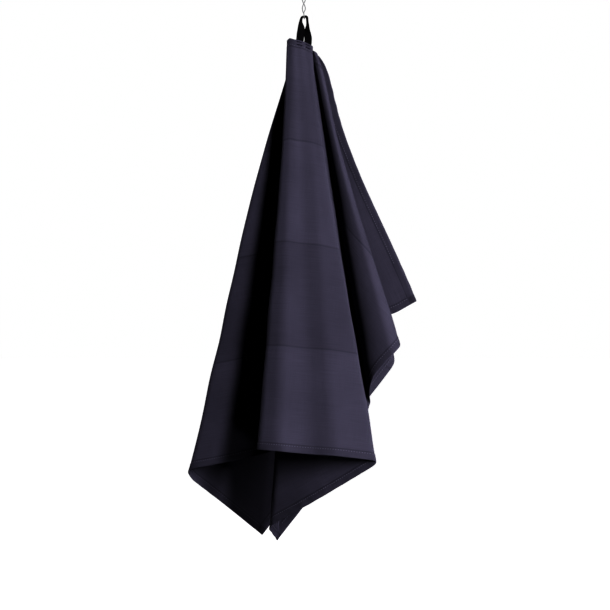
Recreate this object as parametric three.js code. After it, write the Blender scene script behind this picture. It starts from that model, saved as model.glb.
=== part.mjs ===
// A cotton tea towel that hangs by its tape loop from a hook of twisted wire.
// Lengths are in millimetres. +X is to the right of the towel's front, +Y away from its front, +Z up.
// The origin is the top of the hook's eye, the point that the hook is held by.

import * as THREE from 'three';

// The towel, cut 700 wide and 500 deep, hangs from the middle of one of its 700 edges.
const TOWEL_HALF_WIDTH = 350;
const TOWEL_DROP = 500;
const CLOTH_THICKNESS = 1.0;
const LAST_PLACE = TOWEL_HALF_WIDTH + TOWEL_DROP;
const CORNER_PLACES = [-LAST_PLACE, -TOWEL_HALF_WIDTH, TOWEL_HALF_WIDTH, LAST_PLACE];

// The tape loop sewn to the top edge.
const TAPE_WIDTH = 8.6;
const TAPE_THICKNESS = 1.0;
const TAPE_STATIONS = 56;
const TAPE_ACROSS = [-1, -0.5, 0, 0.5, 1];

// The hook, bent from one length of wire.
const WIRE_RADIUS = 0.55;
const TWIST_X = 0.4;
const TWIST_RADIUS = 1.8;
const TWIST_HALF_PITCH = 11.3;
const TWIST_TOP = -12.5;
const CROSSING_HEIGHT = -35.1;
const FLARE_HEIGHT = 7;
const BEND_BOTTOM = -41.8;
const BEND_HALF_WIDTH = 6.2;
const BEND_SQUARENESS = 0.7;
const BEND_BOW = 0.6;
const EYE_RADIUS = 4.4;
const EYE_START = -55;
const EYE_END = 245;
const TWIST_STEPS = 22;
const BEND_STEPS = 16;
const WIRE_STEPS = 150;

// A fold line of the hanging cloth runs from the gathered top edge (its neck) to the outer edge (its foot).
// Place is the distance along the outer edge from the middle of the bottom edge, positive to the right:
// -850 is the top left corner, -350 the bottom left one, 350 the bottom right one, 850 the top right one.
// Soft is how far, along the same edge, a fold is rounded to each side.

// The gathered top edge: a nearly flat front, 30 wide, and a close zigzag behind it.
const NECK = [
  { fold: 'left corner',        place: -850, soft: 0,  x: -8.0,  y: 21.4, z: -73.0 },
  { fold: 'back right, outer',  place: -645, soft: 20, x: 6.4,   y: 18.2, z: -75.0 },
  { fold: 'back right, inner',  place: -595, soft: 20, x: 6.4,   y: 15.2, z: -75.0 },
  { fold: 'far left, outer',    place: -214, soft: 18, x: -10.2, y: 11.2, z: -74.0 },
  { fold: 'far left, inner',    place: -174, soft: 18, x: -10.0, y: 8.4,  z: -73.6 },
  { fold: 'left valley, outer', place: -100, soft: 9,  x: -5.0,  y: 7.2,  z: -72.4 },
  { fold: 'left valley, inner', place: -80,  soft: 9,  x: -5.0,  y: 4.2,  z: -71.4 },
  { fold: 'front left, outer',  place: -21,  soft: 6,  x: -19.2, y: 5.9,  z: -68.8 },
  { fold: 'front left, inner',  place: -9,   soft: 6,  x: -19.4, y: 3.2,  z: -67.5 },
  { fold: 'front peak',         place: 14,   soft: 6,  x: -16.4, y: 1.4,  z: -65.1 },
  { fold: 'front bevel',        place: 32,   soft: 9,  x: -11.2, y: -0.6, z: -66.8 },
  { fold: 'under the loop',     place: 54,   soft: 10, x: -5.0,  y: -0.4, z: -68.0 },
  { fold: 'front slope',        place: 86,   soft: 12, x: 2.5,   y: 0.0,  z: -70.4 },
  { fold: 'front right, inner', place: 116,  soft: 15, x: 9.0,   y: 0.0,  z: -73.8 },
  { fold: 'front right, outer', place: 146,  soft: 15, x: 10.9,  y: 3.5,  z: -75.6 },
  { fold: 'inside right, near', place: 284,  soft: 18, x: 2.5,   y: 4.9,  z: -77.0 },
  { fold: 'inside right, far',  place: 330,  soft: 24, x: 2.5,   y: 7.8,  z: -77.0 },
  { fold: 'right valley',       place: 540,  soft: 50, x: 8.6,   y: 10.6, z: -78.5 },
  { fold: 'ridge, near',        place: 650,  soft: 20, x: 13.0,  y: 5.0,  z: -80.6 },
  { fold: 'ridge, far',         place: 686,  soft: 16, x: 16.0,  y: 7.5,  z: -83.2 },
  { fold: 'back valley, near',  place: 738,  soft: 16, x: 11.4,  y: 11.0, z: -82.6 },
  { fold: 'back valley, far',   place: 776,  soft: 16, x: 12.4,  y: 14.4, z: -83.6 },
  { fold: 'right corner',       place: 850,  soft: 0,  x: 18.3,  y: 11.0, z: -85.6 },
];

// The outer edge. Shoulder pushes a fold line sideways just under the neck; belly and sag push it
// sideways and back a third of the way down.
const FEET = [
  { fold: 'left corner', place: -850, soft: 0, x: -81, y: 125, z: -362, shoulder: 0, belly: 0, sag: 7 },
  { fold: 'back wave', place: -752, soft: 34, x: 8, y: 120, z: -390, shoulder: 0, belly: 0, sag: 5 },
  { fold: 'back right', place: -620, soft: 22, x: 112, y: 75, z: -451.7, shoulder: 0, belly: -4, sag: 5 },
  { fold: 'left tip', place: -350, soft: 0, x: -51, y: 68, z: -670, shoulder: 0, belly: 0, sag: 7 },
  { fold: 'left bulge', place: -290, soft: 28, x: -95, y: 66, z: -634.2, shoulder: 0, belly: 0, sag: 7 },
  { fold: 'left turn', place: -212, soft: 6, x: -135.4, y: 32, z: -598.9, shoulder: 2, belly: -6, sag: 6 },
  { fold: 'far left', place: -194, soft: 11, x: -138.5, y: 21, z: -588, shoulder: 3, belly: -8.5, sag: 6 },
  { fold: 'left slope', place: -145, soft: 20, x: -96.5, y: -2, z: -576.5, shoulder: 0, belly: 0, sag: 3 },
  { fold: 'left valley', place: -90, soft: 22, x: -43, y: -18, z: -563, shoulder: 0, belly: 0, sag: 0 },
  { fold: 'front left', place: -16, soft: 8, x: -53, y: -88.5, z: -556, shoulder: 0, belly: 3, sag: 0 },
  { fold: 'front crease', place: 11, soft: 9, x: -29.5, y: -104, z: -557, shoulder: 0, belly: 3, sag: 0 },
  { fold: 'front hollow', place: 46, soft: 12, x: 5, y: -107.5, z: -560, shoulder: 0, belly: 0, sag: 0 },
  { fold: 'front swell', place: 80, soft: 8, x: 37, y: -119, z: -561.5, shoulder: 0, belly: 0, sag: 0 },
  { fold: 'front right', place: 130, soft: 13, x: 84, y: -122, z: -568.5, shoulder: -1, belly: -6, sag: 0 },
  { fold: 'inside flat', place: 231, soft: 30, x: 10, y: -84, z: -618, shoulder: 0, belly: 0, sag: 0 },
  { fold: 'inside right', place: 303, soft: 14, x: -38.7, y: -45, z: -650, shoulder: 0, belly: 0, sag: 0 },
  { fold: 'right tip', place: 350, soft: 0, x: -31.7, y: -1, z: -670, shoulder: 0, belly: 0, sag: 0 },
  { fold: 'hidden wave', place: 500, soft: 36, x: 57, y: -14, z: -553, shoulder: 0, belly: 0, sag: 0 },
  { fold: 'hidden bulge', place: 563, soft: 16, x: 79.5, y: 12, z: -508, shoulder: 0, belly: 0, sag: 0 },
  { fold: 'right valley', place: 592, soft: 11, x: 79.5, y: -5, z: -492, shoulder: 0, belly: 0, sag: 5 },
  { fold: 'ridge foot', place: 614, soft: 11, x: 83.5, y: -20, z: -475, shoulder: 0, belly: 0, sag: 0 },
  { fold: 'ridge flank', place: 636, soft: 10, x: 94.5, y: -30.5, z: -459, shoulder: 2, belly: -2, sag: 0 },
  { fold: 'ridge, near', place: 656, soft: 6, x: 107, y: -36, z: -445, shoulder: 3, belly: -4, sag: 0 },
  { fold: 'ridge, far', place: 670, soft: 5, x: 114.7, y: -30.5, z: -435.7, shoulder: 4, belly: -6, sag: 0 },
  { fold: 'back valley', place: 745, soft: 16, x: 97, y: 37, z: -411, shoulder: 0, belly: 0, sag: 0 },
  { fold: 'back fold, near', place: 772, soft: 9, x: 77, y: 43, z: -405, shoulder: 0, belly: 0, sag: 0 },
  { fold: 'back fold, far', place: 788, soft: 9, x: 82, y: 52, z: -402, shoulder: 0, belly: 0, sag: 0 },
  { fold: 'far right', place: 813, soft: 12, x: 107, y: 46, z: -398, shoulder: 4, belly: -6, sag: 0 },
  { fold: 'right corner', place: 850, soft: 0, x: 137.6, y: 36, z: -382, shoulder: 7, belly: -9, sag: 0 },
];

// The shoulder push is greatest at this share of the way down.
const UNDER_NECK = 0.1;

// How far down each fold line the rows of the cloth's mesh lie.
const ROWS_DOWN = [0, 0.015, 0.04, 0.08, 0.14, 0.22, 0.32, 0.44, 0.58, 0.72, 0.86, 1];

// The columns of the mesh lie at these shares of a fold's softness, and no closer or wider than this.
const COLUMN_SHARES = [-1, -0.6, -0.25, 0.25, 0.6, 1];
const NARROWEST_COLUMN = 4.4;
const WIDEST_COLUMN = 34;
const CORNER_CLEARANCE = 10;

// Straight runs between the rows of a table, with every inner corner rounded over its own softness.
function softLine(table, key, place) {
  let k = 1;
  while (k < table.length - 1 && place > table[k].place) k += 1;
  const along = (place - table[k - 1].place) / (table[k].place - table[k - 1].place);
  let value = table[k - 1][key] + (table[k][key] - table[k - 1][key]) * along;
  for (let i = 1; i < table.length - 1; i += 1) {
    const soft = table[i].soft;
    const reach = soft - Math.abs(place - table[i].place);
    if (reach > 0) {
      const before = (table[i][key] - table[i - 1][key]) / (table[i].place - table[i - 1].place);
      const after = (table[i + 1][key] - table[i][key]) / (table[i + 1].place - table[i].place);
      value += (after - before) * reach * reach / (4 * soft);
    }
  }
  return value;
}

// Moves the corners of a table outwards, a share of what they miss by at each pass, until the
// rounded line passes through the points first given.
function drawnThrough(table) {
  const passes = 40;
  const shareOfMiss = 0.7;
  const keys = ['x', 'y', 'z'];
  const corners = table.map((row) => ({ ...row }));
  for (let pass = 0; pass < passes; pass += 1) {
    const misses = table.map((row) => keys.map((key) => row[key] - softLine(corners, key, row.place)));
    for (const [i, row] of corners.entries()) {
      for (const [j, key] of keys.entries()) row[key] += shareOfMiss * misses[i][j];
    }
  }
  return corners;
}

const neckLine = drawnThrough(NECK);
const footLine = drawnThrough(FEET);

// The middle surface of the hanging cloth.
function clothPoint(place, down) {
  const mix = (key) => {
    return softLine(neckLine, key, place) * (1 - down) + softLine(footLine, key, place) * down;
  };
  const underNeck = (down / UNDER_NECK) * Math.exp(1 - down / UNDER_NECK);
  const thirdDown = (27 / 4) * down * (1 - down) ** 2;
  const sideways = softLine(FEET, 'shoulder', place) * underNeck + softLine(FEET, 'belly', place) * thirdDown;
  const back = softLine(FEET, 'sag', place) * thirdDown;
  return new THREE.Vector3(mix('x') + sideways, mix('y') + back, mix('z'));
}

// Points from the right side of the cloth to its wrong side.
function clothNormal(place, down) {
  const reach = 1;
  const depth = 0.004;
  const toRight = clothPoint(Math.min(place + reach, LAST_PLACE), down);
  const toLeft = clothPoint(Math.max(place - reach, -LAST_PLACE), down);
  const below = clothPoint(place, Math.min(down + depth, 1));
  const above = clothPoint(place, Math.max(down - depth, 0));
  return toRight.sub(toLeft).cross(below.sub(above)).normalize();
}

// Columns of the cloth's mesh: close together round each fold, wide apart on the flat, and clear of
// the columns that run to the towel's corners.
function columnPlaces() {
  const marks = new Set(CORNER_PLACES);
  for (const row of [...NECK, ...FEET]) {
    for (const share of COLUMN_SHARES) marks.add(row.place + row.soft * share);
  }
  const tooNear = (mark, corner) => mark !== corner && Math.abs(mark - corner) < CORNER_CLEARANCE;
  const clear = [...marks].filter((mark) => !CORNER_PLACES.some((corner) => tooNear(mark, corner)));
  clear.sort((a, b) => a - b);
  const places = [clear[0]];
  for (const mark of clear.slice(1)) {
    const from = places[places.length - 1];
    if (mark - from < NARROWEST_COLUMN && !CORNER_PLACES.includes(mark)) continue;
    const parts = Math.ceil((mark - from) / WIDEST_COLUMN);
    for (let i = 1; i <= parts; i += 1) places.push(from + ((mark - from) * i) / parts);
  }
  return places;
}

// Joins two faces of a sheet, given as the same grid of points, into one closed body.
function closedSheet(columns, rows, rightSide, wrongSide) {
  const positions = [...rightSide, ...wrongSide].flatMap((p) => [p.x, p.y, p.z]);
  const wrong = columns * rows;
  const at = (i, j) => i * rows + j;
  const triangles = [];
  const quad = (a, b, c, d) => triangles.push(a, b, c, a, c, d);
  for (let i = 0; i < columns - 1; i += 1) {
    for (let j = 0; j < rows - 1; j += 1) {
      quad(at(i, j), at(i, j + 1), at(i + 1, j + 1), at(i + 1, j));
      quad(wrong + at(i, j), wrong + at(i + 1, j), wrong + at(i + 1, j + 1), wrong + at(i, j + 1));
    }
    quad(at(i, 0), at(i + 1, 0), wrong + at(i + 1, 0), wrong + at(i, 0));
    quad(at(i + 1, rows - 1), at(i, rows - 1), wrong + at(i, rows - 1), wrong + at(i + 1, rows - 1));
  }
  for (let j = 0; j < rows - 1; j += 1) {
    quad(at(0, j + 1), at(0, j), wrong + at(0, j), wrong + at(0, j + 1));
    const [above, below] = [at(columns - 1, j), at(columns - 1, j + 1)];
    quad(above, below, wrong + below, wrong + above);
  }
  const geometry = new THREE.BufferGeometry();
  geometry.setAttribute('position', new THREE.Float32BufferAttribute(positions, 3));
  geometry.setIndex(triangles);
  return geometry;
}

function towelGeometry() {
  const places = columnPlaces();
  const rightSide = [];
  const wrongSide = [];
  for (const place of places) {
    for (const down of ROWS_DOWN) {
      const middle = clothPoint(place, down);
      const half = clothNormal(place, down).multiplyScalar(CLOTH_THICKNESS / 2);
      rightSide.push(middle.clone().sub(half));
      wrongSide.push(middle.clone().add(half));
    }
  }
  return closedSheet(places.length, ROWS_DOWN.length, rightSide, wrongSide);
}

// The tape comes up from behind the top edge, goes over the hook's bend and down again.
// Turn is the angle in degrees of its width from the towel's front; curl is how far its edges rise.
const TAPE_RUN = [
  { x: -4.9, y: 0.7, z: -79.0, turn: 0,  curl: 0 },
  { x: -4.9, y: 1.4, z: -74.5, turn: 0,  curl: 0 },
  { x: -4.6, y: 2.1, z: -70.0, turn: 8,  curl: 0 },
  { x: -4.0, y: 2.4, z: -65.0, turn: 12, curl: 0 },
  { x: -3.6, y: 1.8, z: -60.0, turn: 10, curl: 0 },
  { x: -2.8, y: 0.9, z: -55.4, turn: 12, curl: 0 },
  { x: -2.8, y: 0.3, z: -50.5, turn: 42, curl: 0.3 },
  { x: -2.6, y: 0.0, z: -46.0, turn: 67, curl: 0.8 },
  { x: -1.3, y: 0.0, z: -41.0, turn: 86, curl: 1.6 },
  { x: 0.9,  y: 0.0, z: -40.1, turn: 90, curl: 1.0 },
  { x: 3.1,  y: 0.0, z: -40.8, turn: 90, curl: 2.2 },
  { x: 4.0,  y: 0.4, z: -46.0, turn: 80, curl: 1.0 },
  { x: 4.6,  y: 1.4, z: -50.5, turn: 70, curl: 0.5 },
  { x: 4.5,  y: 2.6, z: -55.4, turn: 48, curl: 0.2 },
  { x: 4.7,  y: 3.0, z: -60.0, turn: 22, curl: 0 },
  { x: 5.5,  y: 2.6, z: -65.0, turn: 16, curl: 0 },
  { x: 5.2,  y: 2.3, z: -71.0, turn: 8,  curl: 0 },
  { x: 4.4,  y: 1.7, z: -76.0, turn: 0,  curl: 0 },
  { x: 4.1,  y: 0.8, z: -81.0, turn: 0,  curl: 0 },
];

// Turn and curl of the tape at a share of the way along it.
function tapeSet(share) {
  const row = share * (TAPE_RUN.length - 1);
  const k = Math.min(Math.floor(row), TAPE_RUN.length - 2);
  const between = (key) => THREE.MathUtils.lerp(TAPE_RUN[k][key], TAPE_RUN[k + 1][key], row - k);
  return { turn: THREE.MathUtils.degToRad(between('turn')), curl: between('curl') };
}

function tapeGeometry() {
  const run = new THREE.CatmullRomCurve3(TAPE_RUN.map((p) => new THREE.Vector3(p.x, p.y, p.z)));
  const outer = [];
  const inner = [];
  for (let i = 0; i <= TAPE_STATIONS; i += 1) {
    const share = i / TAPE_STATIONS;
    const { turn, curl } = tapeSet(share);
    const middle = run.getPoint(share);
    const tangent = run.getTangent(share);
    const rising = share < 0.5 ? 1 : -1;
    const width = new THREE.Vector3(rising * Math.cos(turn), Math.sin(turn), 0);
    width.addScaledVector(tangent, -width.dot(tangent)).normalize();
    const thick = tangent.clone().cross(width).normalize();
    for (const side of TAPE_ACROSS) {
      const point = middle.clone().addScaledVector(width, (side * TAPE_WIDTH) / 2);
      point.addScaledVector(thick, curl * side * side);
      outer.push(point.clone().addScaledVector(thick, -TAPE_THICKNESS / 2));
      inner.push(point.clone().addScaledVector(thick, TAPE_THICKNESS / 2));
    }
  }
  return closedSheet(TAPE_STATIONS + 1, TAPE_ACROSS.length, outer, inner);
}

// One of the two strands that wind round each other; they spread in depth down to the open bend.
function strandPoint(side, height) {
  const rise = height - CROSSING_HEIGHT;
  const angle = (Math.PI * rise) / TWIST_HALF_PITCH;
  const flare = 0.5 + 0.5 * Math.cos(Math.PI * Math.min(rise / FLARE_HEIGHT, 1));
  const depth = TWIST_RADIUS + (BEND_HALF_WIDTH - TWIST_RADIUS) * flare;
  const x = TWIST_X + side * TWIST_RADIUS * Math.sin(angle);
  return new THREE.Vector3(x, -side * depth * Math.cos(angle), height);
}

function bendPoints() {
  const squared = (value) => Math.sign(value) * Math.abs(value) ** BEND_SQUARENESS;
  const points = [];
  for (let i = 1; i < BEND_STEPS; i += 1) {
    const angle = (Math.PI * i) / BEND_STEPS;
    const x = TWIST_X + BEND_BOW * Math.sin(angle);
    const y = BEND_HALF_WIDTH * squared(Math.cos(angle));
    const z = CROSSING_HEIGHT + (BEND_BOTTOM - CROSSING_HEIGHT) * squared(Math.sin(angle));
    points.push(new THREE.Vector3(x, y, z));
  }
  return points;
}

function eyePoints() {
  const points = [];
  for (let i = 0; i <= BEND_STEPS; i += 1) {
    const share = i / BEND_STEPS;
    const angle = THREE.MathUtils.degToRad(THREE.MathUtils.lerp(EYE_START, EYE_END, share));
    const x = TWIST_X + EYE_RADIUS * Math.cos(angle);
    const y = THREE.MathUtils.lerp(-TWIST_RADIUS, TWIST_RADIUS, share);
    const z = EYE_RADIUS * (Math.sin(angle) - 1) - WIRE_RADIUS;
    points.push(new THREE.Vector3(x, y, z));
  }
  return points;
}

// One wire: down one strand of the twist, round the open bend, up the other strand and round the eye.
function wireRun() {
  const heights = [];
  for (let i = 0; i <= TWIST_STEPS; i += 1) {
    heights.push(THREE.MathUtils.lerp(TWIST_TOP, CROSSING_HEIGHT, i / TWIST_STEPS));
  }
  const downStrand = heights.map((height) => strandPoint(-1, height));
  const upStrand = heights.toReversed().map((height) => strandPoint(1, height));
  return new THREE.CatmullRomCurve3([...downStrand, ...bendPoints(), ...upStrand, ...eyePoints()]);
}

function wireGeometry() {
  const section = new THREE.Shape().absarc(0, 0, WIRE_RADIUS, 0, 2 * Math.PI);
  return new THREE.ExtrudeGeometry(section, { steps: WIRE_STEPS, curveSegments: 4, extrudePath: wireRun() });
}

const cotton = new THREE.MeshStandardMaterial({ color: 0x35314a, roughness: 0.9, metalness: 0 });
const tape = new THREE.MeshStandardMaterial({ color: 0x101012, roughness: 0.8, metalness: 0 });
const steel = new THREE.MeshStandardMaterial({ color: 0xb9b9bc, roughness: 0.3, metalness: 1 });

function piece(name, geometry, material) {
  const mesh = new THREE.Mesh(geometry, material);
  mesh.name = name;
  return mesh;
}

const hangingTowel = new THREE.Group();
hangingTowel.add(piece('towel', towelGeometry(), cotton));
hangingTowel.add(piece('hanging_loop', tapeGeometry(), tape));
hangingTowel.add(piece('wire_hook', wireGeometry(), steel));

export default hangingTowel;
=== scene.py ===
"""A cotton tea towel hanging by its tape loop from a hook of twisted wire, in a plain white studio.

Tables are in millimetres in the part's own frame: +X right, +Y away from the front, +Z up,
with the origin at the top of the hook's eye. Blender's objects are in metres.
"""

import math

import bpy
import numpy as np
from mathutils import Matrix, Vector


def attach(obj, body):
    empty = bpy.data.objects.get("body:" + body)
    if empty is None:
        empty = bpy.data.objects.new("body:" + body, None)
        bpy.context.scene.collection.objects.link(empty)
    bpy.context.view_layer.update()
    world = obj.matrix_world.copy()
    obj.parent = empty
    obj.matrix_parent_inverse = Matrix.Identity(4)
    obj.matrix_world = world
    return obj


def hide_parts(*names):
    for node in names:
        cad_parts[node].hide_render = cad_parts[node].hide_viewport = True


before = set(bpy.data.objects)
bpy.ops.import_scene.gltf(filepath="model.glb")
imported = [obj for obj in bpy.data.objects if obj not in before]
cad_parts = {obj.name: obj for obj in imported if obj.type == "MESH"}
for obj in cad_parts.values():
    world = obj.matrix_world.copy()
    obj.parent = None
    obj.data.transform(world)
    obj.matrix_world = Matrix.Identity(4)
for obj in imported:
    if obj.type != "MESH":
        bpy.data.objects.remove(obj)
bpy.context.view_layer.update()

MM = 0.001

# The photograph, with its scale at the loop's depth.
PICTURE_PIXELS = 610
MM_PER_PIXEL = 1.2048
FRAME_WIDTH = PICTURE_PIXELS * MM_PER_PIXEL * MM
CAMERA_DISTANCE = 3.012
VIEW_CENTRE = Vector((0.0018, 0.0, -0.3867))

# The towel as cut.
HALF_WIDTH = 350.0
DROP = 500.0
CLOTH_HALF_THICKNESS = 0.3
HEM_WIDTH = 9.2
HEM_HALF_THICKNESS = 0.62
STITCH_INSET = 7.6

# Fold lines run from the gathered top edge (neck) to the outer edge (foot). Place is the distance
# along the outer edge from the middle of the bottom edge. Start is where a fold line leaves the
# top edge of the cut cloth. Soft is how far a fold is rounded to each side. Shoulder pushes a fold
# line sideways just under the neck; belly and sag push it sideways and back a third of the way down.
NECK = [
    # place, soft, x, y, z
    (-850, 0, -8.0, 21.4, -73.0),
    (-645, 20, 6.4, 18.2, -75.0),
    (-595, 20, 6.4, 15.2, -75.0),
    (-214, 18, -10.2, 11.2, -74.0),
    (-174, 18, -10.0, 8.4, -73.6),
    (-100, 9, -5.0, 7.2, -72.4),
    (-80, 9, -5.0, 4.2, -71.4),
    (-21, 6, -19.2, 5.9, -68.8),
    (-9, 6, -19.4, 3.2, -67.5),
    (14, 6, -16.4, 1.4, -65.1),
    (32, 9, -11.2, -0.6, -66.8),
    (54, 10, -5.0, -0.4, -68.0),
    (86, 12, 2.5, 0.0, -70.4),
    (116, 15, 9.0, 0.0, -73.8),
    (146, 15, 10.9, 3.5, -75.6),
    (284, 18, 2.5, 4.9, -77.0),
    (330, 24, 2.5, 7.8, -77.0),
    (540, 50, 8.6, 10.6, -78.5),
    (650, 20, 13.0, 5.0, -80.6),
    (686, 16, 16.0, 7.5, -83.2),
    (738, 16, 11.4, 11.0, -82.6),
    (776, 16, 12.4, 14.4, -83.6),
    (850, 0, 18.3, 11.0, -85.6),
]

FEET = [
    # place, soft, start, x, y, z, shoulder, belly, sag
    (-850, 0, -36, -81, 125, -362, 0, 0, 7),
    (-752, 34, -34, 8, 120, -390, 0, 0, 5),
    (-620, 22, -31, 112, 75, -451.7, 0, -4, 5),
    (-350, 0, -27, -51, 68, -670, 0, 0, 7),
    (-290, 28, -25, -95, 66, -634.2, 0, 0, 7),
    (-212, 6, -23.4, -135.4, 32, -598.9, 2, -6, 6),
    (-194, 11, -23, -138.5, 21, -588, 3, -8.5, 6),
    (-145, 20, -21.5, -96.5, -2, -576.5, 0, 0, 3),
    (-90, 22, -20, -43, -18, -563, 0, 0, 0),
    (-16, 8, -18, -53, -88.5, -556, 0, 3, 0),
    (11, 9, -12, -29.5, -104, -557, 0, 3, 0),
    (46, 12, -1, 5, -107.5, -560, 0, 0, 0),
    (80, 8, 5, 37, -119, -561.5, 0, 0, 0),
    (130, 13, 14, 84, -122, -568.5, -1, -6, 0),
    (231, 30, 16, 10, -84, -618, 0, 0, 0),
    (303, 14, 18, -38.7, -45, -650, 0, 0, 0),
    (350, 0, 19, -31.7, -1, -670, 0, 0, 0),
    (500, 36, 21, 57, -14, -553, 0, 0, 0),
    (563, 16, 21.5, 79.5, 12, -508, 0, 0, 0),
    (592, 11, 22, 79.5, -5, -492, 0, 0, 5),
    (614, 11, 23, 83.5, -20, -475, 0, 0, 0),
    (636, 10, 24, 94.5, -30.5, -459, 2, -2, 0),
    (656, 6, 24.5, 107, -36, -445, 3, -4, 0),
    (670, 5, 25, 114.7, -30.5, -435.7, 4, -6, 0),
    (745, 16, 27, 97, 37, -411, 0, 0, 0),
    (772, 9, 27.3, 77, 43, -405, 0, 0, 0),
    (788, 9, 27.7, 82, 52, -402, 0, 0, 0),
    (813, 12, 28, 107, 46, -398, 4, -6, 0),
    (850, 0, 29, 137.6, 36, -382, 7, -9, 0),
]

# The tape loop: place of its middle line, turn of its width from the towel's front in degrees,
# and how far its edges curl outwards.
TAPE_WIDTH = 9.2
TAPE_HALF_THICKNESS = 0.45
TAPE_RUN = [
    # x, y, z, turn, curl
    (-4.9, 0.7, -79.0, 0, 0),
    (-4.9, 1.4, -74.5, 0, 0),
    (-4.6, 2.1, -70.0, 8, 0),
    (-4.0, 2.4, -65.0, 12, 0),
    (-3.6, 1.8, -60.0, 10, 0),
    (-2.8, 0.9, -55.4, 12, 0),
    (-2.8, 0.3, -50.5, 42, 0.3),
    (-2.6, 0.0, -46.0, 67, 0.8),
    (-1.3, 0.0, -41.0, 86, 1.6),
    (0.9, 0.0, -40.1, 90, 1.0),
    (3.1, 0.0, -40.8, 90, 2.2),
    (4.0, 0.4, -46.0, 80, 1.0),
    (4.6, 1.4, -50.5, 70, 0.5),
    (4.5, 2.6, -55.4, 48, 0.2),
    (4.7, 3.0, -60.0, 22, 0),
    (5.5, 2.6, -65.0, 16, 0),
    (5.2, 2.3, -71.0, 8, 0),
    (4.4, 1.7, -76.0, 0, 0),
    (4.1, 0.8, -81.0, 0, 0),
]

# Where the tape's ends lie under the top hem, and how far below its edge they are sewn down.
TAPE_END_PLACES = [(42, 66), (86, 110)]
BAR_TACK_DEPTHS = [2.2, 5.8]

# The wire hook.
WIRE_RADIUS = 0.55
TWIST_X = 0.4
TWIST_RADIUS = 1.8
TWIST_HALF_PITCH = 11.3
TWIST_TOP = -12.5
CROSSING_HEIGHT = -35.1
FLARE_HEIGHT = 7.0
BEND_BOTTOM = -41.8
BEND_HALF_WIDTH = 6.2
BEND_SQUARENESS = 0.7
EYE_RADIUS = 4.4


# Camera.

def add_camera():
    data = bpy.data.cameras.new("camera")
    data.sensor_width = 36
    data.lens = data.sensor_width * CAMERA_DISTANCE / FRAME_WIDTH
    data.clip_end = 60
    camera = bpy.data.objects.new("camera", data)
    camera.location = VIEW_CENTRE + Vector((0, -CAMERA_DISTANCE, 0))
    camera.rotation_euler = (math.pi / 2, 0, 0)
    bpy.context.scene.collection.objects.link(camera)
    bpy.context.scene.camera = camera


add_camera()


# Meshes.

def add_mesh(name, points, faces, material, uv=None):
    """An object from points in millimetres and an array of quads, smooth, with a UV place per point."""
    mesh = bpy.data.meshes.new(name)
    faces = np.asarray(faces, np.int32)
    mesh.vertices.add(len(points))
    mesh.vertices.foreach_set("co", (np.asarray(points, np.float32) * MM).ravel())
    mesh.loops.add(faces.size)
    mesh.loops.foreach_set("vertex_index", faces.ravel())
    mesh.polygons.add(len(faces))
    mesh.polygons.foreach_set("loop_start", np.arange(len(faces), dtype=np.int32) * faces.shape[1])
    mesh.polygons.foreach_set("loop_total", np.full(len(faces), faces.shape[1], np.int32))
    mesh.polygons.foreach_set("use_smooth", np.ones(len(faces), bool))
    if uv is not None:
        layer = mesh.uv_layers.new(name="cloth")
        layer.data.foreach_set("uv", np.asarray(uv, np.float32)[faces.ravel()].ravel())
    mesh.materials.append(material)
    mesh.validate()
    mesh.update()
    obj = bpy.data.objects.new(name, mesh)
    bpy.context.scene.collection.objects.link(obj)
    return obj


def sheet_faces(columns, rows):
    """Quads of a closed sheet whose two sides are grids of columns by rows, the right side first."""
    index = np.arange(columns * rows).reshape(columns, rows)
    back = index + columns * rows
    a, b, c, d = index[:-1, :-1], index[:-1, 1:], index[1:, 1:], index[1:, :-1]
    front_side = np.stack([a, b, c, d], -1).reshape(-1, 4)
    back_side = front_side[:, ::-1] + columns * rows

    def rim(line, other):
        return np.stack([line[:-1], line[1:], other[1:], other[:-1]], -1)

    rims = [
        rim(index[:, 0], back[:, 0]),
        rim(index[::-1, -1], back[::-1, -1]),
        rim(index[0, ::-1], back[0, ::-1]),
        rim(index[-1, :], back[-1, :]),
    ]
    return np.concatenate([front_side, back_side, *rims])


def smooth_step(low, high, value):
    share = np.clip((value - low) / (high - low), 0, 1)
    return share * share * (3 - 2 * share)


# The hanging cloth.

LAST_PLACE = HALF_WIDTH + DROP
UNDER_NECK = 0.1
FITTING_PASSES = 40
FITTING_SHARE = 0.7


def soft_line(places, values, softs, at):
    """Straight runs between the places, each inner corner rounded over its own softness."""
    out = np.interp(at, places, values)
    for k in range(1, len(places) - 1):
        if softs[k] > 0:
            before = (values[k] - values[k - 1]) / (places[k] - places[k - 1])
            after = (values[k + 1] - values[k]) / (places[k + 1] - places[k])
            reach = np.clip(softs[k] - np.abs(at - places[k]), 0, None)
            out = out + (after - before) * reach**2 / (4 * softs[k])
    return out


def drawn_through(places, values, softs):
    """Corner values whose rounded line passes through the values given."""
    corners = values.copy()
    for _ in range(FITTING_PASSES):
        corners += FITTING_SHARE * (values - soft_line(places, corners, softs, places))
    return corners


NECK_PLACES, NECK_SOFTS, *NECK_XYZ = np.array(NECK, float).T
FOOT_PLACES, FOOT_SOFTS, STARTS, *FOOT_REST = np.array(FEET, float).T
FOOT_XYZ, (SHOULDERS, BELLIES, SAGS) = FOOT_REST[:3], FOOT_REST[3:]
NECK_CORNERS = [drawn_through(NECK_PLACES, values, NECK_SOFTS) for values in NECK_XYZ]
FOOT_CORNERS = [drawn_through(FOOT_PLACES, values, FOOT_SOFTS) for values in FOOT_XYZ]


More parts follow.
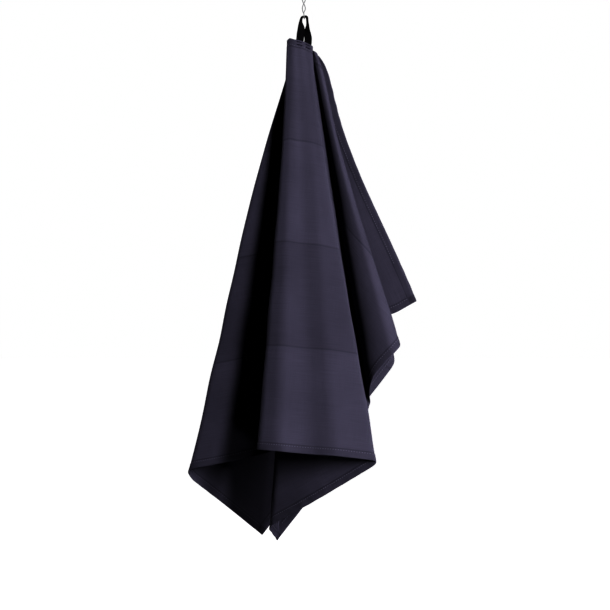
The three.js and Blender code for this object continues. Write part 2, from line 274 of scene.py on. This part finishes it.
def folds(place, down):
    """The cloth's middle surface in its main folds; down is 0 at the neck and 1 at the outer edge."""
    under_neck = (down / UNDER_NECK) * np.exp(1 - down / UNDER_NECK)
    third_down = (27 / 4) * down * (1 - down) ** 2
    axes = []
    for neck, foot in zip(NECK_CORNERS, FOOT_CORNERS):
        top = soft_line(NECK_PLACES, neck, NECK_SOFTS, place)
        end = soft_line(FOOT_PLACES, foot, FOOT_SOFTS, place)
        axes.append(top * (1 - down) + end * down)
    shoulder = soft_line(FOOT_PLACES, SHOULDERS, FOOT_SOFTS, place)
    belly = soft_line(FOOT_PLACES, BELLIES, FOOT_SOFTS, place)
    sag = soft_line(FOOT_PLACES, SAGS, FOOT_SOFTS, place)
    axes[0] = axes[0] + shoulder * under_neck + belly * third_down
    axes[1] = axes[1] + sag * third_down
    return np.stack(axes, -1)


def unit(vectors):
    return vectors / np.maximum(np.linalg.norm(vectors, axis=-1, keepdims=True), 1e-9)


def fold_normal(place, down):
    """Unit vectors from the right side of the cloth to its wrong side."""
    reach, depth = 1, 0.004
    to_right = folds(np.minimum(place + reach, LAST_PLACE), down)
    to_left = folds(np.maximum(place - reach, -LAST_PLACE), down)
    below = folds(place, np.minimum(down + depth, 1))
    above = folds(place, np.maximum(down - depth, 0))
    return unit(np.cross(to_right - to_left, below - above))


def cut_place(place, down):
    """Where a point of the hanging cloth lies on the cut cloth: across from its middle, and down."""
    start = np.interp(place, FOOT_PLACES, STARTS)
    edge_u = np.clip(place, -HALF_WIDTH, HALF_WIDTH)
    edge_v = DROP - np.clip(np.abs(place) - HALF_WIDTH, 0, None)
    return start + (edge_u - start) * down, edge_v * down


# Small wrinkles. Puckers lie along the edges of the cloth, slack runs all over it below the neck, and
# gathers run down from the gathered edge.
PUCKER_HEIGHT = 0.42
PUCKER_REACH = 10
PUCKER_WAVES = {"seed": 3, "count": 8, "shortest": 14, "longest": 32}
SLACK_HEIGHT = 0.45
SLACK_FROM, SLACK_FULL = 0.05, 0.4
SLACK_WAVES = {"seed": 5, "count": 7, "shortest": 70, "longest": 170}
GATHER_HEIGHT = 0.25
GATHER_FULL, GATHER_REACH = 0.02, 0.12
GATHER_LENGTH, GATHER_DRIFT_LENGTH = 7.0, 40
WAVE_SIZE = 0.7


def waves(x, y, seed, count, shortest, longest):
    """A sum of sine waves with seeded directions and wavelengths, about -1 to 1."""
    rng = np.random.default_rng(seed)
    total = np.zeros(np.broadcast(x, y).shape)
    for _ in range(count):
        angle = rng.uniform(0, 2 * math.pi)
        number = 2 * math.pi / rng.uniform(shortest, longest)
        phase = rng.uniform(0, 2 * math.pi)
        total += np.sin(number * (x * math.cos(angle) + y * math.sin(angle)) + phase)
    return total / math.sqrt(count / 2) * WAVE_SIZE


def creases(place, down):
    """Small wrinkles, as a distance along the normal."""
    u, v = cut_place(place, down)
    edge = np.minimum(HALF_WIDTH - np.abs(u), np.minimum(v, DROP - v))
    puckers = PUCKER_HEIGHT * np.exp(-edge / PUCKER_REACH) * waves(u, v, **PUCKER_WAVES)
    slack = SLACK_HEIGHT * smooth_step(SLACK_FROM, SLACK_FULL, down) * waves(u, v, **SLACK_WAVES)
    gathered = GATHER_HEIGHT * np.exp(-down / GATHER_REACH) * smooth_step(0, GATHER_FULL, down)
    drift = 2 * np.sin(place / GATHER_DRIFT_LENGTH)
    return puckers + slack + gathered * np.sin(place / GATHER_LENGTH + drift)


def cloth_point(place, down, offset=0.0):
    """A point of the hanging cloth, moved from its middle towards its wrong side by offset."""
    shift = creases(place, down) + offset
    return folds(place, down) + fold_normal(place, down) * shift[..., None]


# The cloth's mesh: the steps between its columns, which are close near a fold, and how far down its
# rows lie. The rows of the hem are given by their distance from the outer edge.
WIDE_COLUMN = 5.4
CLOSE_COLUMN = 2.5
FOLD_MARGIN = 4
LONGEST_LAST_STEP = 1.6
TOP_ROWS = [0, 0.0015, 0.005, 0.01, 0.0145, 0.0165, 0.0185, 0.022]
MIDDLE_ROWS = 72
HEM_ROWS = [16, 12, 9.9, 9.1, 8.5, 7.6, 6.7, 4, 1.6, 0.5, 0]
CORNER_BLEND = 15


def cloth_columns():
    places = [-LAST_PLACE]
    while places[-1] < LAST_PLACE:
        here = places[-1]
        near = any(abs(here - p) < s + FOLD_MARGIN for p, s in zip(FOOT_PLACES, FOOT_SOFTS) if s > 0)
        step = CLOSE_COLUMN if near else WIDE_COLUMN
        corner = min(c for c in (-HALF_WIDTH, HALF_WIDTH, LAST_PLACE) if c > here)
        places.append(corner if corner - here < LONGEST_LAST_STEP * step else here + step)
    return np.array(places)


def cloth_rows(places):
    """How far down each column every row lies."""
    start = np.interp(places, FOOT_PLACES, STARTS)
    side_run = HALF_WIDTH - np.sign(places) * start
    past_corner = smooth_step(HALF_WIDTH - CORNER_BLEND, HALF_WIDTH + CORNER_BLEND, np.abs(places))
    run = (DROP + (side_run - DROP) * past_corner)[:, None]
    top = np.repeat([TOP_ROWS], len(places), 0)
    low, high = TOP_ROWS[-1], 1 - HEM_ROWS[0] / run
    middle = low + (high - low) * np.arange(1, MIDDLE_ROWS) / MIDDLE_ROWS
    return np.concatenate([top, middle, 1 - np.array(HEM_ROWS) / run], 1)


# The cloth's thickness: doubled in the hem and more at the corners, less in the groove of the
# stitches and at the rounded edge. Layers press together at the neck, where the tape is sewn on.
HEM_STEP = 0.4
CORNER_EXTRA = 0.3
GROOVE_DEPTH, GROOVE_WIDTH = 0.14, 0.6
ROUNDING_DEPTH, ROUNDING_WIDTH = 0.21, 0.4
NECK_HALF_THICKNESS = 0.42
NECK_REACH = 60


def half_thickness(u, v):
    edges = [HALF_WIDTH - np.abs(u), v, DROP - v]
    layers = [1 - smooth_step(HEM_WIDTH - HEM_STEP, HEM_WIDTH + HEM_STEP, edge) for edge in edges]
    hem = np.maximum.reduce(layers)
    corner = layers[0] * np.maximum(layers[1], layers[2])
    edge = np.minimum.reduce(edges)
    groove = GROOVE_DEPTH * np.exp(-(((edge - STITCH_INSET) / GROOVE_WIDTH) ** 2))
    rounding = ROUNDING_DEPTH * np.exp(-edge / ROUNDING_WIDTH)
    body = CLOTH_HALF_THICKNESS + (HEM_HALF_THICKNESS - CLOTH_HALF_THICKNESS) * hem + CORNER_EXTRA * corner
    neck = np.exp(-((np.hypot(u, v) / NECK_REACH) ** 4))
    return body * (1 - neck) + NECK_HALF_THICKNESS * neck - hem * (groove + rounding * (1 - neck))


def add_towel(material):
    places = cloth_columns()
    down = cloth_rows(places)
    place = np.repeat(places[:, None], down.shape[1], 1)
    u, v = cut_place(place, down)
    middle = cloth_point(place, down)
    half = fold_normal(place, down) * half_thickness(u, v)[..., None]
    points = np.concatenate([(middle - half).reshape(-1, 3), (middle + half).reshape(-1, 3)])
    uv = np.stack([(u + HALF_WIDTH) * MM, v * MM], -1).reshape(-1, 2)
    return add_mesh("cotton_towel", points, sheet_faces(*down.shape), material, np.concatenate([uv, uv]))


# Stitches. The seams along the outer edge stop short of the towel's corners.
SEAM_RUNS = [
    # from place, to place
    (-841, -358),
    (-343, 343),
    (358, 841),
]
SEAM_STEP = 0.5
TOP_SEAM_POINTS = 2500
TOP_SEAM_CLEARANCE = 1.5
HEM_PITCH, HEM_STITCH_LENGTH, HEM_STITCH_RADIUS = 3.1, 1.8, 0.32
BAR_PITCH, BAR_STITCH_LENGTH, BAR_STITCH_RADIUS = 0.62, 1.9, 0.3
BAR_POINTS = 80
STITCH_SHAPE = [
    # along, width, lift
    (-1, 0.45, -0.9),
    (-0.62, 0.9, 0.1),
    (0, 1, 0.35),
    (0.62, 0.9, 0.1),
    (1, 0.45, -0.9),
]
STITCH_FLATNESS = 0.7
STITCH_SIDES = 6


def stitch_lines():
    """Lines of (place, down) at the stitches' inset from the edges of the cut cloth."""
    end = LAST_PLACE - STITCH_INSET - 1
    outer = np.arange(-end, end, SEAM_STEP)
    start = np.interp(outer, FOOT_PLACES, STARTS)
    run = np.where(np.abs(outer) < HALF_WIDTH, DROP, HALF_WIDTH - np.sign(outer) * start)
    lines = []
    for low, high in SEAM_RUNS:
        part = (outer > low) & (outer < high)
        lines.append((outer[part], 1 - STITCH_INSET / run[part]))
    gathered = np.arange(1 - HALF_WIDTH, HALF_WIDTH - 1, SEAM_STEP)
    lines.append((gathered, np.full(len(gathered), STITCH_INSET / DROP)))
    depth = np.geomspace(STITCH_INSET + TOP_SEAM_CLEARANCE, DROP, TOP_SEAM_POINTS)
    for side in (-1, 1):
        lines.append((side * (LAST_PLACE - depth), STITCH_INSET / depth))
    return lines


def add_stitches(name, centres, directions, normals, length, radius, material):
    """One short rounded thread for each centre, its ends dipping into the cloth."""
    angles = 2 * math.pi * np.arange(STITCH_SIDES) / STITCH_SIDES
    across = np.cross(directions, normals)
    rings = []
    for along, width, lift in STITCH_SHAPE:
        core = centres + directions * (along * length / 2) + normals * (lift * radius)
        for angle in angles:
            spoke = across * math.cos(angle) + normals * math.sin(angle) * STITCH_FLATNESS
            rings.append(core + spoke * (radius * width))
    points = np.stack(rings, 1)
    count, per = points.shape[:2]
    last = (len(STITCH_SHAPE) - 1) * STITCH_SIDES
    quads = []
    for ring in range(0, last, STITCH_SIDES):
        for k in range(STITCH_SIDES):
            a, b = ring + k, ring + (k + 1) % STITCH_SIDES
            quads.append((a, b, b + STITCH_SIDES, a + STITCH_SIDES))
    quads += [(3, 2, 1, 0), (5, 4, 3, 0)]
    quads += [(last, last + 1, last + 2, last + 3), (last, last + 3, last + 4, last + 5)]
    faces = (np.arange(count)[:, None, None] * per + np.array(quads)[None]).reshape(-1, 4)
    return add_mesh(name, points.reshape(-1, 3), faces, material)


def length_along(path):
    return np.concatenate([[0], np.cumsum(np.linalg.norm(np.diff(path, axis=0), axis=1))])


def square_to(vectors, directions):
    """Vectors turned square to the directions, as unit vectors."""
    return unit(vectors - directions * np.sum(vectors * directions, axis=1, keepdims=True))


def along_line(place, down, pitch, face):
    """Stitches a pitch apart on one face of the cloth: centres, directions and outward normals."""
    reach = 0.4
    path = cloth_point(place, down, face * half_thickness(*cut_place(place, down)))
    length = length_along(path)
    at = np.arange(pitch / 2, length[-1], pitch)
    behind, centres, ahead = (
        np.stack([np.interp(at + shift, length, path[:, k]) for k in range(3)], -1)
        for shift in (-reach, 0, reach)
    )
    directions = unit(ahead - behind)
    normal = fold_normal(np.interp(at, length, place), np.interp(at, length, down)) * face
    return centres, directions, square_to(normal, directions)


def joined(parts):
    return (np.concatenate([part[k] for part in parts]) for k in range(3))


def add_hem_stitches(material):
    parts = [along_line(*line, HEM_PITCH, face) for line in stitch_lines() for face in (-1, 1)]
    return add_stitches("hem_stitches", *joined(parts), HEM_STITCH_LENGTH, HEM_STITCH_RADIUS, material)


def add_bar_tacks(material):
    """Two bars of close stitches through the hem at each end of the tape loop."""
    parts = []
    for low, high in TAPE_END_PLACES:
        for depth in BAR_TACK_DEPTHS:
            bar = (np.linspace(low, high, BAR_POINTS), np.full(BAR_POINTS, depth / DROP))
            centres, directions, normals = along_line(*bar, BAR_PITCH, -1)
            parts.append((centres, np.cross(directions, normals), normals))
    return add_stitches("loop_bar_tacks", *joined(parts), BAR_STITCH_LENGTH, BAR_STITCH_RADIUS, material)


# The tape loop.

TAPE_STATIONS = 321
TAPE_RIGHT_HALF = np.array([0.22, 0.44, 0.66, 0.84, 0.94, 0.985, 1])
TAPE_ACROSS = np.concatenate([-TAPE_RIGHT_HALF[::-1], [0], TAPE_RIGHT_HALF])
SELVEDGE = 0.97
RIB_HEIGHT = 0.07
RIB_PITCH = 1.05
RIB_LAG = 0.6


def spline(points, shares):
    """A smooth curve through the points, read at shares from 0 to 1 of its rows."""
    points = np.asarray(points, float)
    ends = np.vstack([2 * points[0] - points[1], points, 2 * points[-1] - points[-2]])
    row = np.clip(np.asarray(shares) * (len(points) - 1), 0, len(points) - 1 - 1e-9)
    k = row.astype(int)
    t = (row - k)[:, None]
    p0, p1, p2, p3 = ends[k], ends[k + 1], ends[k + 2], ends[k + 3]
    square = 2 * p0 - 5 * p1 + 4 * p2 - p3
    cube = 3 * p1 - p0 - 3 * p2 + p3
    return 0.5 * (2 * p1 + (p2 - p0) * t + square * t**2 + cube * t**3)


def add_tape(material):
    run = np.array(TAPE_RUN, float)
    shares = np.linspace(0, 1, TAPE_STATIONS)
    middle = spline(run[:, :3], shares)
    row = shares * (len(run) - 1)
    turn = np.radians(np.interp(row, np.arange(len(run)), run[:, 3]))
    curl = np.interp(row, np.arange(len(run)), run[:, 4])
    tangent = unit(np.gradient(middle, axis=0))
    rising = np.where(np.arange(TAPE_STATIONS) < TAPE_STATIONS // 2, 1.0, -1.0)
    width = square_to(np.stack([rising * np.cos(turn), np.sin(turn), 0 * turn], -1), tangent)
    thick = np.cross(tangent, width)
    length = length_along(middle)
    sides = []
    for face in (-1, 1):
        columns = []
        for side in TAPE_ACROSS:
            rib = RIB_HEIGHT * np.sin(2 * math.pi * length / RIB_PITCH + RIB_LAG * np.sign(side) * math.pi)
            rounded = math.sqrt(max(1 - (abs(side) ** 14), 0.02))
            half = (TAPE_HALF_THICKNESS + rib * (abs(side) < SELVEDGE)) * rounded
            lift = curl * side**2 + face * half
            columns.append(middle + width * (side * TAPE_WIDTH / 2) + thick * lift[:, None])
        sides.append(np.stack(columns, 1))
    points = np.concatenate([side.reshape(-1, 3) for side in sides])
    across = (TAPE_ACROSS * TAPE_WIDTH / 2)[None, :]
    uv = np.stack(np.broadcast_arrays(across * MM, length[:, None] * MM), -1).reshape(-1, 2)
    faces = sheet_faces(TAPE_STATIONS, len(TAPE_ACROSS))
    return add_mesh("tape_loop", points, faces, material, np.concatenate([uv, uv]))


# The wire hook.

TWIST_STEPS = 22
BEND_STEPS = 16
BEND_BOW = 0.6
EYE_START, EYE_END = -55, 245
WIRE_STATIONS = 420
WIRE_SIDES = 14
WIRE_END_BULGE = 0.2


def strand(side, height):
    """One of the two strands that wind round each other and spread in depth at the open bend."""
    rise = height - CROSSING_HEIGHT
    angle = math.pi * rise / TWIST_HALF_PITCH
    flare = 0.5 + 0.5 * np.cos(math.pi * np.minimum(rise / FLARE_HEIGHT, 1))
    depth = TWIST_RADIUS + (BEND_HALF_WIDTH - TWIST_RADIUS) * flare
    x = TWIST_X + side * TWIST_RADIUS * np.sin(angle)
    return np.stack([x, -side * depth * np.cos(angle), height], -1)


def squared(value):
    return np.sign(value) * np.abs(value) ** BEND_SQUARENESS


def wire_path():
    """Down one strand, round the open bend, up the other strand and round the eye."""
    heights = np.linspace(TWIST_TOP, CROSSING_HEIGHT, TWIST_STEPS + 1)
    angle = math.pi * np.arange(1, BEND_STEPS) / BEND_STEPS
    bend = np.stack([
        TWIST_X + BEND_BOW * np.sin(angle),
        BEND_HALF_WIDTH * squared(np.cos(angle)),
        CROSSING_HEIGHT + (BEND_BOTTOM - CROSSING_HEIGHT) * squared(np.sin(angle)),
    ], -1)
    round_eye = np.radians(np.linspace(EYE_START, EYE_END, BEND_STEPS + 1))
    eye = np.stack([
        TWIST_X + EYE_RADIUS * np.cos(round_eye),
        np.linspace(-TWIST_RADIUS, TWIST_RADIUS, BEND_STEPS + 1),
        EYE_RADIUS * (np.sin(round_eye) - 1) - WIRE_RADIUS,
    ], -1)
    points = np.concatenate([strand(-1, heights), bend, strand(1, heights[::-1]), eye])
    return spline(points, np.linspace(0, 1, WIRE_STATIONS))


def add_wire(material):
    path = wire_path()
    tangent = unit(np.gradient(path, axis=0))
    side = np.cross(tangent[0], (0.0, 1.0, 0.0))
    angles = (2 * math.pi * np.arange(WIRE_SIDES) / WIRE_SIDES)[:, None]
    rings = []
    for centre, direction in zip(path, tangent):
        side = unit(side - direction * np.dot(side, direction))
        other = np.cross(direction, side)
        rings.append(centre + WIRE_RADIUS * (np.cos(angles) * side + np.sin(angles) * other))
    tips = [[path[0] - tangent[0] * WIRE_END_BULGE], [path[-1] + tangent[-1] * WIRE_END_BULGE]]
    points = np.concatenate([*rings, *tips])
    index = np.arange(WIRE_STATIONS * WIRE_SIDES).reshape(WIRE_STATIONS, WIRE_SIDES)
    turned = np.roll(index, -1, axis=1)
    body = np.stack([index[:-1], turned[:-1], turned[1:], index[1:]], -1).reshape(-1, 4)
    start, end = index.size, index.size + 1
    caps = []
    for k in range(0, WIRE_SIDES, 2):
        a, b, c = index[:, [k, (k + 1) % WIRE_SIDES, (k + 2) % WIRE_SIDES]].T
        caps += [(start, c[0], b[0], a[0]), (end, a[-1], b[-1], c[-1])]
    return add_mesh("hook_wire", points, np.concatenate([body, np.array(caps)]), material)


# Materials. The numbers given to scaled are a noise's features per millimetre on the cut cloth, and
# per metre elsewhere.

COTTON = (0.042, 0.039, 0.0565, 1)
THREAD = [(0.03, 0.028, 0.04, 1), (0.11, 0.104, 0.14, 1)]
BLACK_THREAD = [(0.004, 0.004, 0.006, 1), (0.02, 0.018, 0.03, 1)]
TAPE_BLACK = (0.0026, 0.0025, 0.003, 1)
STEEL = [(0.3, 0.3, 0.31, 1), (0.46, 0.46, 0.47, 1)]
BAND_HEIGHT = 125.0
BAND_LINE = (0.3, 1.6)
# Painted highlight: how far from the edge the cloth's colour is made lighter, standing in for light caught
# by the rounded edge.
PAINTED_EDGE_HIGHLIGHT = (0.2, 1.4)
HEM_INNER_EDGE = (8.6, 9.3)
# Painted shadow: where the dark line beyond the hem's inner edge fades out.
HEM_STEP_SHADOW_END = 10.6
WARP_PITCH, WEFT_PITCH = 0.62, 0.7
TAPE_RIB_PITCH = 0.9
BUMP_DISTANCE = 0.0002


def new_material(name, roughness, specular=None):
    material = bpy.data.materials.new(name)
    material.use_nodes = True
    tree = material.node_tree
    shader = tree.nodes["Principled BSDF"]
    shader.inputs["Roughness"].default_value = roughness
    if specular is not None:
        shader.inputs["Specular IOR Level"].default_value = specular
    return material, tree, shader


def node(tree, kind, settings=None, **inputs):
    """A node with its settings and inputs; an input is named, or i0, i1 and so on by its place."""
    made = tree.nodes.new(kind)
    for key, value in (settings or {}).items():
        setattr(made, key, value)
    for key, value in inputs.items():
        socket = made.inputs[int(key[1:])] if key[0] == "i" and key[1:].isdigit() else made.inputs[key]
        if isinstance(value, bpy.types.NodeSocket):
            tree.links.new(value, socket)
        else:
            socket.default_value = value
    return made


def math_node(tree, operation, a, b=0.0, c=0.0):
    return node(tree, "ShaderNodeMath", {"operation": operation}, i0=a, i1=b, i2=c).outputs[0]


def fade(tree, value, low, high, start=0.0, end=1.0):
    """A soft step from start to end as the value goes from low to high."""
    made = node(tree, "ShaderNodeMapRange", {"interpolation_type": "SMOOTHSTEP"}, Value=value)
    for name, number in (("From Min", low), ("From Max", high), ("To Min", start), ("To Max", end)):
        made.inputs[name].default_value = number
    return made.outputs["Result"]


def scaled(tree, vector, x, y, z=1.0):
    settings = {"operation": "MULTIPLY"}
    return node(tree, "ShaderNodeVectorMath", settings, i0=vector, i1=(x, y, z)).outputs[0]


def noise(tree, vector, detail=2.0):
    return node(tree, "ShaderNodeTexNoise", None, Vector=vector, Detail=detail, Scale=1.0).outputs["Fac"]


def cloth_uv(tree):
    """The place on the cut cloth in millimetres: the vector, its part across and its part down."""
    uv = node(tree, "ShaderNodeUVMap", {"uv_map": "cloth"}).outputs[0]
    cut = scaled(tree, uv, 1 / MM, 1 / MM, 0)
    split = node(tree, "ShaderNodeSeparateXYZ", None, Vector=cut)
    return cut, split.outputs[0], split.outputs[1]


def edge_distance(tree, value, middle):
    """Distance from the nearer of two edges that lie at 0 and at twice the middle."""
    off_middle = math_node(tree, "ABSOLUTE", math_node(tree, "SUBTRACT", value, middle))
    return math_node(tree, "SUBTRACT", middle, off_middle)


def ribbing(tree, value, pitch):
    return math_node(tree, "SINE", math_node(tree, "MULTIPLY", value, 2 * math.pi / pitch))


def tint(tree, shader, colour, value):
    """Gives the shader one colour times a grey value."""
    mix = node(tree, "ShaderNodeMix", {"data_type": "RGBA", "blend_type": "MULTIPLY"}, Factor=1.0)
    mix.inputs[6].default_value = colour
    tree.links.new(value, mix.inputs[7])
    tree.links.new(mix.outputs[2], shader.inputs["Base Color"])


def blend(tree, shader, dark, light, share):
    """Gives the shader a colour from dark to light."""
    mix = node(tree, "ShaderNodeMix", {"data_type": "RGBA"}, Factor=share)
    mix.inputs[6].default_value = dark
    mix.inputs[7].default_value = light
    tree.links.new(mix.outputs[2], shader.inputs["Base Color"])


def bump(tree, shader, height, strength):
    made = node(tree, "ShaderNodeBump", None, Height=height, Strength=strength, Distance=BUMP_DISTANCE)
    tree.links.new(made.outputs[0], shader.inputs["Normal"])


def cotton_material():
    """Dark cotton woven in four tone-on-tone bands, with hems, a painted highlight along the edges and a
    painted shadow just beyond the hem's inner edge.
    """
    material, tree, shader = new_material("cotton", 0.88, 0.0)
    cut, u, v = cloth_uv(tree)

    in_band = math_node(tree, "PINGPONG", v, BAND_HEIGHT)
    boundary = math_node(tree, "MINIMUM", in_band, math_node(tree, "SUBTRACT", BAND_HEIGHT, in_band))
    band_line = fade(tree, boundary, *BAND_LINE, 1.0, 0.0)
    pair = math_node(tree, "MODULO", math_node(tree, "MULTIPLY", v, 1 / (2 * BAND_HEIGHT)), 1.0)
    weft_faced = fade(tree, pair, 0.497, 0.503)

    slub_across = noise(tree, scaled(tree, cut, 0.03, 1.4))
    slub_down = noise(tree, scaled(tree, cut, 1.5, 0.035))
    cloud = noise(tree, scaled(tree, cut, 0.02, 0.02), 3.0)

    edge_side = edge_distance(tree, u, HALF_WIDTH)
    edge_end = edge_distance(tree, v, DROP / 2)
    edge = math_node(tree, "MINIMUM", edge_side, edge_end)
    # Painted highlight: the outer strip of every edge is made lighter, standing in for the light that the
    # rounded edge catches.
    rim = fade(tree, edge, *PAINTED_EDGE_HIGHLIGHT, 1.0, 0.0)
    hem = fade(tree, edge, *HEM_INNER_EDGE, 1.0, 0.0)
    # Painted shadow: a dark line just beyond the hem's inner edge, where the hem's step shades the single
    # cloth.
    past_hem = fade(tree, edge, HEM_INNER_EDGE[1], HEM_STEP_SHADOW_END, 1.0, 0.0)
    hem_step_shadow = math_node(tree, "MULTIPLY", fade(tree, edge, *HEM_INNER_EDGE), past_hem)
    corner = fade(tree, math_node(tree, "MAXIMUM", edge_side, edge_end), *HEM_INNER_EDGE, 1.0, 0.0)

    tones = [
        # mask, amount, base
        (slub_down, 0.2, 0.9),
        (cloud, 0.3, 0.85),
        (weft_faced, 0.1, 1.0),
        (band_line, -0.22, 1.0),
        # painted highlight along the edges
        (rim, 0.35, 1.0),
        # painted shadow of the hem's step
        (hem_step_shadow, -0.35, 1.0),
        (hem, -0.14, 1.0),
        (corner, -0.3, 1.0),
    ]
    value = math_node(tree, "MULTIPLY_ADD", slub_across, 0.34, 0.66)
    for mask, amount, base in tones:
        value = math_node(tree, "MULTIPLY", value, math_node(tree, "MULTIPLY_ADD", mask, amount, base))
    tint(tree, shader, COTTON, value)

    weft = ribbing(tree, v, WEFT_PITCH)
    plain_weave = math_node(tree, "MULTIPLY", ribbing(tree, u, WARP_PITCH), weft)
    ribs = math_node(tree, "MULTIPLY", weft, weft_faced)
    height = math_node(tree, "MULTIPLY_ADD", ribs, 0.5, plain_weave)
    height = math_node(tree, "MULTIPLY_ADD", slub_across, 1.6, height)
    bump(tree, shader, height, 0.35)
    return material


def thread_material(name, dark, light):
    """Matt thread with a fine twist."""
    material, tree, shader = new_material(name, 0.8, 0.2)
    place = node(tree, "ShaderNodeTexCoord").outputs["Object"]
    blend(tree, shader, dark, light, noise(tree, scaled(tree, place, 3000, 3000, 3000)))
    return material


def tape_material():
    """Black woven tape with a herringbone of fine ribs."""
    material, tree, shader = new_material("tape", 0.9, 0.02)
    cut, across, along = cloth_uv(tree)
    slanted = math_node(tree, "ADD", along, math_node(tree, "ABSOLUTE", across))
    ribs = ribbing(tree, slanted, TAPE_RIB_PITCH)
    grain = noise(tree, scaled(tree, cut, 1.8, 0.5, 0))
    grained = math_node(tree, "MULTIPLY_ADD", grain, 0.6, 0.7)
    tint(tree, shader, TAPE_BLACK, math_node(tree, "MULTIPLY_ADD", ribs, 0.25, grained))
    bump(tree, shader, ribs, 0.5)
    return material


def wire_material():
    """Bright drawn steel wire with faint drawing marks."""
    material, tree, shader = new_material("wire", 0.3)
    shader.inputs["Metallic"].default_value = 1.0
    place = node(tree, "ShaderNodeTexCoord").outputs["Object"]
    marks = noise(tree, scaled(tree, place, 2500, 2500, 300), 3.0)
    blend(tree, shader, *STEEL, marks)
    tree.links.new(fade(tree, marks, 0.3, 0.7, 0.22, 0.4), shader.inputs["Roughness"])
    return material


# The object.

cotton = cotton_material()
thread = thread_material("thread", *THREAD)
black_thread = thread_material("black_thread", *BLACK_THREAD)
towel = add_towel(cotton)
stitches = add_hem_stitches(thread)
tape = add_tape(tape_material())
bar_tacks = add_bar_tacks(black_thread)
wire = add_wire(wire_material())

for piece in (towel, stitches, bar_tacks, tape, wire):
    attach(piece, "root")
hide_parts("towel")
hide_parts("hanging_loop")
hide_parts("wire_hook")


# Studio: a white floor and surroundings that light the towel little, and soft lights. Neither the
# floor nor the lights show in the wire.

FLOOR_HEIGHT = -1.1
FLOOR_HALF_SIZE = 30.0
LIGHTS = [
    # name, degrees to the right of the front, degrees up, distance, width, height, power
    ("key", 28, 18, 3.0, 0.34, 1.5, 318.0),
    ("high right", 50, 40, 3.0, 0.9, 0.9, 40.0),
    ("low right", 45, -34, 1.25, 0.5, 0.5, 19.0),
    ("back", 196, 22, 3.0, 0.9, 1.5, 230.0),
    ("back left", 232, 12, 3.0, 0.9, 1.5, 110.0),
    ("back right", 138, 12, 3.0, 0.9, 1.5, 120.0),
]
AMBIENT = 0.01
CONTRAST = 1.6


def add_floor():
    mesh = bpy.data.meshes.new("floor")
    half = FLOOR_HALF_SIZE
    corners = [(-half, -half), (half, -half), (half, half), (-half, half)]
    mesh.from_pydata([(x, y, FLOOR_HEIGHT) for x, y in corners], [], [(0, 1, 2, 3)])
    material, _, shader = new_material("floor", 0.9, 0.0)
    shader.inputs["Base Color"].default_value = (0.9, 0.9, 0.9, 1)
    shader.inputs["Emission Color"].default_value = (1, 1, 1, 1)
    shader.inputs["Emission Strength"].default_value = 1.0
    mesh.materials.append(material)
    floor = bpy.data.objects.new("floor", mesh)
    floor.visible_diffuse = False
    floor.visible_glossy = False
    bpy.context.scene.collection.objects.link(floor)


def add_light(name, azimuth, elevation, distance, width, height, power):
    data = bpy.data.lights.new(name, "AREA")
    data.shape = "RECTANGLE"
    data.size, data.size_y = width, height
    data.energy = power
    lamp = bpy.data.objects.new(name, data)
    turn, rise = math.radians(azimuth), math.radians(elevation)
    away = Vector((math.sin(turn) * math.cos(rise), -math.cos(turn) * math.cos(rise), math.sin(rise)))
    lamp.location = VIEW_CENTRE + away * distance
    lamp.rotation_euler = away.to_track_quat("Z", "Y").to_euler()
    lamp.visible_camera = False
    lamp.visible_glossy = False
    bpy.context.scene.collection.objects.link(lamp)


def add_surroundings():
    """White to the eye and to reflections, but dim as a light on the cloth."""
    world = bpy.data.worlds.new("studio")
    bpy.context.scene.world = world
    world.use_nodes = True
    tree = world.node_tree
    background = tree.nodes["Background"]
    background.inputs["Color"].default_value = (1, 1, 1, 1)
    diffuse = node(tree, "ShaderNodeLightPath").outputs["Is Diffuse Ray"]
    strength = math_node(tree, "MULTIPLY_ADD", diffuse, AMBIENT - 1.0, 1.0)
    tree.links.new(strength, background.inputs["Strength"])
    bpy.context.scene.view_settings.view_transform = "Standard"
    bpy.context.scene.view_settings.gamma = 1 / CONTRAST


add_floor()
for light in LIGHTS:
    add_light(*light)
add_surroundings()
